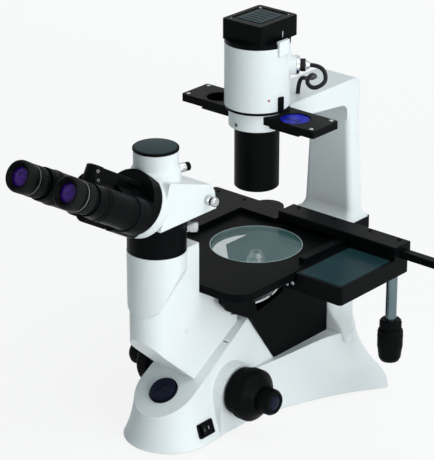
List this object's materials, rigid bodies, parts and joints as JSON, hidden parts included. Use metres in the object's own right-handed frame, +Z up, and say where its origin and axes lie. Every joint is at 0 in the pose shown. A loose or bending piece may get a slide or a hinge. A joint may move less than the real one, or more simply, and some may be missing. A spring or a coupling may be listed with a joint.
{
  "type": "inverted microscope",
  "caption": "Inverted microscope: binocular head with camera port, mechanical stage over an objective turret, coaxial focus knobs, and an overhead lamp arm with filter slider.",
  "frame": {"origin": "on the table plane, under the optical axis of the stage opening", "axes": "+X to the user's right, +Y away from the user, +Z up along the optical axis"},
  "size_m": [0.358, 0.5258, 0.47],
  "materials": {
    "white_paint": "smooth semi-gloss enamel",
    "black_paint": "fine satin black",
    "black_plastic": "satin",
    "navy_plastic": "satin",
    "rubber": "matte",
    "cable_rubber": "satin sheath",
    "steel": "ground",
    "chrome": "polished plate",
    "iron": "laminated core",
    "mirror": "front-surface mirror and lens",
    "stage_glass": "polished grey-green",
    "clear_glass": "polished",
    "coated_glass": "violet lens coating",
    "blue_glass": "polished daylight blue"
  },
  "bodies": {
    "frame": {"base_casting": "white_paint", "base_plate": "steel", "rubber_feet": "rubber", "column_housing": "white_paint", "stage_bracket": "black_paint", "stage_plate": "black_paint", "stage_glass": "stage_glass", "stage_y_rail": "steel", "rear_pillar": "white_paint", "pillar_foot": "black_paint", "head_ring": "black_paint", "head_housing": "white_paint", "camera_port": "white_paint", "port_cap": "black_plastic", "binocular_hub": "black_paint", "pivot_cover": "black_paint", "lamp_house": "white_paint", "lamp_cap": "black_paint", "lamp_bulb": "clear_glass", "illuminator_lenses": "clear_glass", "lamp_connector": "chrome", "lamp_lead": "cable_rubber", "lamp_seat": "black_paint", "slider_guide": "black_paint", "condenser_tube": "black_paint", "relay_optics": "mirror", "focus_guide": "steel", "power_inlet": "black_plastic", "transformer": "iron", "switch_bezel": "black_plastic"},
    "right_ocular_body": {"right_ocular": "black_paint", "right_eyepiece": "black_paint", "right_lens": "coated_glass"},
    "left_ocular_body": {"left_ocular": "black_paint", "left_eyepiece": "black_paint", "left_lens": "coated_glass"},
    "diopter": {"diopter_ring": "black_paint"},
    "light_path": {"light_path_rod": "chrome"},
    "head_screw": {"head_clamp_screw": "chrome"},
    "port_screw": {"port_clamp_screw": "black_plastic"},
    "dial": {"brightness_dial": "navy_plastic"},
    "switch": {"rocker": "black_plastic"},
    "slider": {"filter_slider": "black_paint", "blue_filter": "blue_glass"},
    "iris": {"iris_ring": "black_paint"},
    "focus_slide": {"nosepiece_carrier": "black_paint", "focus_rack": "steel"},
    "coarse": {"coarse_knobs": "black_plastic", "coarse_shaft": "steel"},
    "fine": {"fine_focus": "black_plastic"},
    "nosepiece": {"turret": "black_paint", "turret_ring": "chrome", "objectives": "chrome"},
    "y_carriage": {"carriage_plate": "black_paint", "cross_rail": "black_paint", "drop_tube": "chrome"},
    "x_holder": {"specimen_holder": "black_paint", "rack_bar": "black_paint"},
    "y_drive": {"y_knob": "black_plastic"},
    "x_drive": {"x_knob": "black_plastic"}
  },
  "joints": [
    {"name": "right_ocular_hinge", "type": "hinge", "parent": "frame", "child": "right_ocular_body", "pos_m": [0, -0.205, 0.305], "axis": [0, -0.866, 0.5], "range_deg": [-21.8, 21]},
    {"name": "left_ocular_hinge", "type": "hinge", "parent": "frame", "child": "left_ocular_body", "pos_m": [0, -0.205, 0.305], "axis": [0, -0.866, 0.5], "range_deg": [-21, 21.8]},
    {"name": "diopter_turn", "type": "hinge", "parent": "left_ocular_body", "child": "diopter", "pos_m": [-0.035, -0.21173, 0.29334], "axis": [0, -0.866, 0.5], "range_deg": [-90, 90]},
    {"name": "light_path_slide", "type": "slide", "parent": "frame", "child": "light_path", "axis": [1, 0, 0], "range_m": [0, 0.01]},
    {"name": "head_screw_turn", "type": "hinge", "parent": "frame", "child": "head_screw", "pos_m": [0, -0.174, 0.269], "axis": [0.8, 0.6, 0], "continuous": true},
    {"name": "port_screw_turn", "type": "hinge", "parent": "frame", "child": "port_screw", "pos_m": [0, -0.174, 0.332], "axis": [0.3, 0.9539, 0], "continuous": true},
    {"name": "dial_turn", "type": "hinge", "parent": "frame", "child": "dial", "pos_m": [0, -0.165, 0.06], "axis": [0, -0.515, 0.8572], "range_deg": [-135, 135]},
    {"name": "switch_rock", "type": "hinge", "parent": "frame", "child": "switch", "pos_m": [0.04468, -0.147, 0.01897], "axis": [-0.342, 0, 0.9397], "range_deg": [-16, 0]},
    {"name": "filter_slide", "type": "slide", "parent": "frame", "child": "slider", "axis": [1, 0, 0], "range_m": [-0.0565, 0.0565]},
    {"name": "iris_turn", "type": "hinge", "parent": "frame", "child": "iris", "pos_m": [0, 0, 0.366], "axis": [0, 0, 1], "range_deg": [-25, 25]},
    {"name": "focus_travel", "type": "slide", "parent": "frame", "child": "focus_slide", "axis": [0, 0, 1], "range_m": [-0.004, 0.004]},
    {"name": "coarse_turn", "type": "hinge", "parent": "frame", "child": "coarse", "pos_m": [0, -0.094, 0.052], "axis": [1, 0, 0], "range_deg": [-24, 24]},
    {"name": "fine_turn", "type": "hinge", "parent": "frame", "child": "fine", "pos_m": [0, -0.094, 0.052], "axis": [1, 0, 0], "continuous": true},
    {"name": "nosepiece_turn", "type": "hinge", "parent": "focus_slide", "child": "nosepiece", "pos_m": [0, -0.02641, 0.15239], "axis": [0, -0.2079, 0.9781], "continuous": true},
    {"name": "stage_y_travel", "type": "slide", "parent": "frame", "child": "y_carriage", "axis": [0, 1, 0], "range_m": [-0.055, 0.015]},
    {"name": "stage_x_travel", "type": "slide", "parent": "y_carriage", "child": "x_holder", "axis": [1, 0, 0], "range_m": [-0.075, 0]},
    {"name": "y_knob_turn", "type": "hinge", "parent": "y_carriage", "child": "y_drive", "pos_m": [0.143, 0.077, 0.1], "axis": [0, 0, 1], "range_deg": [-330, 100]},
    {"name": "x_knob_turn", "type": "hinge", "parent": "y_carriage", "child": "x_drive", "pos_m": [0.143, 0.077, 0.07], "axis": [0, 0, 1], "range_deg": [-440, 10]}
  ],
  "couplings": [
    {"joint": "left_ocular_hinge", "follows": "right_ocular_hinge", "ratio": -1},
    {"joint": "coarse_turn", "follows": "focus_travel", "rad_per_m": 100},
    {"joint": "y_knob_turn", "follows": "stage_y_travel", "rad_per_m": 100},
    {"joint": "x_knob_turn", "follows": "stage_x_travel", "rad_per_m": 100}
  ]
}
